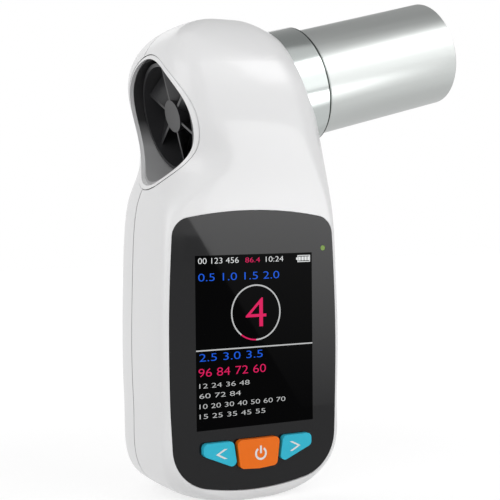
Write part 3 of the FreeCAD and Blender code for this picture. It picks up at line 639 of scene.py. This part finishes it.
def arcPlate(name, ring, start, end, steps, depth, node, material):
    # the short edge across the ring's line at the start angle, spun round its centre to the end angle
    mesh = bmesh.new()
    across, up = ring["centre"]
    turn = math.radians(start)
    inner, outer = ring["radius"] - ring["line"] / 2, ring["radius"] + ring["line"] / 2
    corners = [mesh.verts.new((across + reach * math.cos(turn), depth, up + reach * math.sin(turn)))
               for reach in (inner, outer)]
    bmesh.ops.spin(mesh, geom=[*corners, mesh.edges.new(corners)], cent=(across, depth, up),
                   axis=(0, -1, 0), angle=math.radians(end - start), steps=steps)
    addPlate(name, mesh, node, material)


def bar(left, right, low, high):
    return [(left, low), (right, low), (right, high), (left, high)]


picture = {
    "halfWidth": 0.0187, "halfHeight": 0.0244, "glow": 1.0, "dividerUp": -0.0020, "dividerLine": 0.00036,
    "tones": {"white": (0.82, 0.84, 0.84), "grey": (0.56, 0.57, 0.57),
              "blue": (0.010, 0.115, 0.80), "red": (0.78, 0.012, 0.12)},
}
gauge = {
    "centre": (0.0002, 0.00785), "radius": 0.00775, "line": 0.0004,
    "ringStart": -90, "arcStart": 232, "arcEnd": 270, "ringSteps": 60, "arcSteps": 12,
}
batterySign = {"left": 0.0139, "right": 0.0181, "low": 0.0217, "high": 0.0237, "line": 0.00022, "cells": 4}
# text, tone, left, right, low and high of each row of plain figures
pictureRows = [
    ("00 123 456", "white", -0.0178, -0.0052, 0.0221, 0.0237),
    ("86.4", "red", -0.0031, 0.0016, 0.0221, 0.0235),
    ("10:24", "white", 0.0035, 0.0092, 0.0221, 0.0236),
    ("0.5 1.0 1.5 2.0", "blue", -0.0178, 0.0078, 0.0173, 0.0194),
    ("4", "red", -0.0031, 0.0035, 0.0038, 0.0120),
    ("2.5 3.0 3.5", "blue", -0.0177, 0.0022, -0.0050, -0.0029),
    ("96 84 72 60", "red", -0.0180, 0.0032, -0.0093, -0.0070),
    ("12 24 36 48", "grey", -0.0178, -0.0021, -0.0125, -0.0112),
    ("60 72 84", "grey", -0.0178, -0.0049, -0.0153, -0.0140),
    ("10 20 30 40 50 60 70", "grey", -0.0178, 0.0095, -0.0182, -0.0169),
    ("15 25 35 45 55", "grey", -0.0178, 0.0029, -0.0210, -0.0197),
]
lettering = {"strokeCut": -0.01, "depth": 0.5}  # in the text's own units, before it is fitted


def figures(name, text, left, right, low, high, front, node, material):
    # plain figures, fitted to a box on the screen
    curve = bpy.data.curves.new(name + "Curve", "FONT")
    curve.body = text
    curve.offset = lettering["strokeCut"]
    curve.extrude = lettering["depth"]
    writing = bpy.data.objects.new(name + "Curve", curve)
    scene.collection.objects.link(writing)
    bpy.context.view_layer.update()
    data = bpy.data.meshes.new_from_object(writing)
    bpy.data.objects.remove(writing)
    lows = [min(vertex.co[axis] for vertex in data.vertices) for axis in range(3)]
    highs = [max(vertex.co[axis] for vertex in data.vertices) for axis in range(3)]
    for vertex in data.vertices:
        across, up, out = [(vertex.co[axis] - lows[axis]) / (highs[axis] - lows[axis]) for axis in range(3)]
        vertex.co = (left + across * (right - left), front - out * plates["thickness"],
                     low + up * (high - low))
    mesh = bmesh.new()
    mesh.from_mesh(data)
    bmesh.ops.remove_doubles(mesh, verts=mesh.verts, dist=closeness["figure"])
    addPiece(name, mesh, bodyOfNode[node], slotOfNode[node], material=material)


def batteryBars():
    # the outline, the cap and the cells of the battery sign
    left, right = batterySign["left"], batterySign["right"]
    low, high, line = batterySign["low"], batterySign["high"], batterySign["line"]
    bars = [bar(left, right, high - line, high), bar(left, right, low, low + line),
            bar(left, left + line, low, high), bar(right - line, right, low, high),
            bar(left - 2 * line, left, low + 3 * line, high - 3 * line)]
    pitch = (right - left - line) / batterySign["cells"]
    for cell in range(batterySign["cells"]):
        start = left + line + cell * pitch + line / 2
        bars.append(bar(start, start + pitch - line, low + 2 * line, high - 2 * line))
    return bars


def screenPicture():
    # the dark ground lies lowest, and what is lit lies on it
    tones = {tone: litFinish("lit" + tone.capitalize(), color, picture["glow"])
             for tone, color in picture["tones"].items()}
    back, front = plateDepth("front_panel", 0), plateDepth("front_panel", 1)
    node = "display_module"
    wide, tall = picture["halfWidth"], picture["halfHeight"]
    polygonPlate("pictureGround", bar(-wide, wide, -tall, tall), back, node, pictureDark())
    middle, half = picture["dividerUp"], picture["dividerLine"] / 2
    divider = bar(-wide, wide, middle - half, middle + half)
    polygonPlate("pictureDivider", divider, front, node, tones["grey"])
    arcPlate("gaugeRing", gauge, gauge["ringStart"], gauge["arcStart"], gauge["ringSteps"], front, node,
             tones["grey"])
    arcPlate("gaugeArc", gauge, gauge["arcStart"], gauge["arcEnd"], gauge["arcSteps"], front, node,
             tones["red"])
    for index, (text, tone, *box) in enumerate(pictureRows):
        figures(f"figures{index}", text, *box, front, node, tones[tone])
    for index, outline in enumerate(batteryBars()):
        polygonPlate(f"batterySign{index}", outline, front, node, tones["white"])


chevronSign = {"tip": 0.0131, "end": 0.0105, "up": -0.0312, "reach": 0.0014, "line": 0.0010}


def chevron(side):
    # two strokes that meet in a mitre at the tip, as one outline; side is -1 on the left button
    tip, end = side * chevronSign["tip"], side * chevronSign["end"]
    up, reach, half = chevronSign["up"], chevronSign["reach"], side * chevronSign["line"] / 2
    return [(tip + half, up), (end + half, up + reach), (end - half, up + reach),
            (tip - half, up), (end - half, up - reach), (end + half, up - reach)]


# the ring is open by a gap to each side of its top, where the bar stands
powerSign = {
    "centre": (0.0006, -0.0322), "radius": 0.0016, "line": 0.0006, "gap": 35, "steps": 32,
    "barTop": -0.0300,
}


def buttonSigns():
    white = signWhite()
    for name, node, side in (("leftSign", "button_left", -1), ("rightSign", "button_right", 1)):
        polygonPlate(name, chevron(side), plateDepth(node, 0), node, white)
    node, depth = "button_power", plateDepth("button_power", 0)
    start, end = 90 + powerSign["gap"], 90 + 360 - powerSign["gap"]
    arcPlate("powerSign", powerSign, start, end, powerSign["steps"], depth, node, white)
    (middle, low), half = powerSign["centre"], powerSign["line"] / 2
    upright = bar(middle - half, middle + half, low, powerSign["barTop"])
    polygonPlate("powerSignBar", upright, depth, node, white)


screenPicture()
buttonSigns()
print("picture on the screen and signs finished")


# Floor, light and camera

def seenOrMirrored(tree):
    rays = tree.nodes.new("ShaderNodeLightPath").outputs
    seen = addMath(tree, "MAXIMUM", rays["Is Camera Ray"], rays["Is Glossy Ray"])
    return addMath(tree, "MAXIMUM", seen, rays["Is Transmission Ray"])


def aim(obj, place, target):
    obj.location = place
    obj.rotation_euler = (Vector(target) - Vector(place)).to_track_quat("-Z", "Y").to_euler()


# share of real light and glow, near the object and far from it, between two distances
floorValues = {
    "half": 1.2, "white": 0.8, "roughness": 0.9, "specular": 0.1,
    "distances": (0.1, 0.5), "shadowShare": (0.5, 0.1), "glow": (1.45, 1.1),
}


def addFloor():
    # white where it is seen or mirrored, but for the object's shadow
    mesh = bmesh.new()
    bmesh.ops.create_grid(mesh, x_segments=1, y_segments=1, size=floorValues["half"])
    bmesh.ops.translate(mesh, verts=mesh.verts, vec=(0, 0, cadBounds[0][2]))
    floor = newObject("floor", mesh)
    white = [floorValues["white"]] * 3
    material, shader = newMaterial("floorWhite", white, specular=floorValues["specular"])
    shader.inputs["Roughness"].default_value = floorValues["roughness"]
    tree = material.node_tree
    away = tree.nodes.new("ShaderNodeVectorMath")
    away.operation = "LENGTH"
    feed(tree, objectPlace(tree), away.inputs[0])
    distances = floorValues["distances"]
    share = addRange(tree, away.outputs["Value"], *distances, *floorValues["shadowShare"])
    glow = tree.nodes.new("ShaderNodeEmission")
    strength = addRange(tree, away.outputs["Value"], *distances, *floorValues["glow"])
    feed(tree, strength, glow.inputs["Strength"])
    mixing = tree.nodes.new("ShaderNodeMixShader")
    glowing = addMath(tree, "MULTIPLY", seenOrMirrored(tree), addMath(tree, "SUBTRACT", 1.0, share))
    feed(tree, glowing, mixing.inputs["Fac"])
    feed(tree, shader.outputs["BSDF"], mixing.inputs[1])
    feed(tree, glow.outputs["Emission"], mixing.inputs[2])
    feed(tree, mixing.outputs["Shader"], tree.nodes["Material Output"].inputs["Surface"])
    floor.data.materials.append(material)


worldLight = {"low": 0.7, "high": 0.42}


def addWorld():
    # white where it is seen or mirrored; as light it is weaker from above
    world = bpy.data.worlds.new("studio")
    world.use_nodes = True
    scene.world = world
    tree = world.node_tree
    ground = tree.nodes["Background"]
    ground.inputs["Color"].default_value = (1, 1, 1, 1)
    rise = splitVector(tree, tree.nodes.new("ShaderNodeTexCoord").outputs["Generated"])["Z"]
    light = addRange(tree, rise, 0.0, 1.0, worldLight["low"], worldLight["high"])
    feed(tree, addMath(tree, "MAXIMUM", seenOrMirrored(tree), light), ground.inputs["Strength"])


lamps = {
    "keyBox": {"place": (0.65, -0.85, 0.5), "target": (0, 0, 0.03), "size": (1.1, 1.1), "power": 3.5},
    "fillBox": {"place": (-0.9, -0.5, 0.35), "target": (0, 0, 0.03), "size": (0.9, 0.9), "power": 3.2},
    "backBox": {"place": (0.3, 0.9, 0.7), "target": (0, 0, 0.05), "size": (0.8, 0.5), "power": 0.5},
}


def addSoftBox(name, values):
    light = bpy.data.lights.new(name, "AREA")
    light.shape = "RECTANGLE"
    light.size, light.size_y = values["size"]
    light.energy = values["power"]
    lamp = bpy.data.objects.new(name, light)
    aim(lamp, values["place"], values["target"])
    scene.collection.objects.link(lamp)


# Cards that only reflections see: outline across and up from the card's middle, glow low and high
cards = {
    "flagAbove": {"place": (0.239, 0.125, 0.479), "target": (0.05, 0, 0.085), "glow": (0.5, 0.35),
                  "outline": [(-0.4, -0.3), (0.4, -0.3), (0.4, 0.21), (-0.4, 0.21)]},
    "flagBelow": {"place": (0.113, 0.03, 0.035), "target": (0.06, 0, 0.087), "glow": (0.85, 0.85),
                  "outline": [(-0.06, -0.05), (0.06, -0.05), (0.06, 0.05), (-0.06, 0.05)]},
    "flagBeside": {"place": (0.45, 0.28, 0.19), "target": (0.03, 0, 0.085), "glow": (0.03, 0.03),
                   "outline": [(-0.17, -0.15), (0.17, -0.15), (0.17, 0.15), (-0.17, 0.15)]},
    "headSheen": {"place": (0.27, -0.33, 0.34), "target": (0.003, -0.02, 0.076), "glow": (4.5, 6.0),
                  "outline": [(-0.075, -0.1), (0.075, -0.1), (0.075, 0.1), (-0.075, 0.1)]},
    "panelSheen": {"place": (0.0, -0.137, 0.0), "target": (0.0, 1.0, 0.0), "glow": (1.3, 4.8),
                   "outline": [(0.0852, -0.045), (0.16, -0.045), (0.16, 0.045), (0.0274, 0.045)]},
}
hiddenRays = ("visible_camera", "visible_diffuse", "visible_transmission", "visible_volume_scatter",
              "visible_shadow")


def addCard(name, values):
    mesh = bmesh.new()
    mesh.faces.new([mesh.verts.new((across, up, 0)) for across, up in values["outline"]])
    card = newObject(name, mesh)
    aim(card, values["place"], values["target"])
    for ray in hiddenRays:
        setattr(card, ray, False)
    material = bpy.data.materials.new(name)
    material.use_nodes = True
    tree = material.node_tree
    tree.nodes.remove(tree.nodes["Principled BSDF"])
    glow = tree.nodes.new("ShaderNodeEmission")
    rises = [up for across, up in values["outline"]]
    height = splitVector(tree, objectPlace(tree))["Y"]
    strength = addRange(tree, height, min(rises), max(rises), *values["glow"])
    feed(tree, strength, glow.inputs["Strength"])
    feed(tree, glow.outputs["Emission"], tree.nodes["Material Output"].inputs["Surface"])
    card.data.materials.append(material)


cameraView = {
    "place": (-0.15283, -0.30418, 0.03805), "angles": (87.802, 0.509, -27.802),
    "sensor": 36.0, "lens": 82.8, "clipStart": 0.01,
}


def addCamera():
    data = bpy.data.cameras.new("camera")
    data.sensor_width = cameraView["sensor"]
    data.lens = cameraView["lens"]
    data.clip_start = cameraView["clipStart"]
    camera = bpy.data.objects.new("camera", data)
    camera.location = cameraView["place"]
    camera.rotation_euler = [math.radians(angle) for angle in cameraView["angles"]]
    scene.collection.objects.link(camera)
    scene.camera = camera


addFloor()
addWorld()
for cardName, cardValues in cards.items():
    addCard(cardName, cardValues)
for lampName, lampValues in lamps.items():
    addSoftBox(lampName, lampValues)
addCamera()
scene.view_settings.view_transform = "Standard"
print("studio and camera ready")
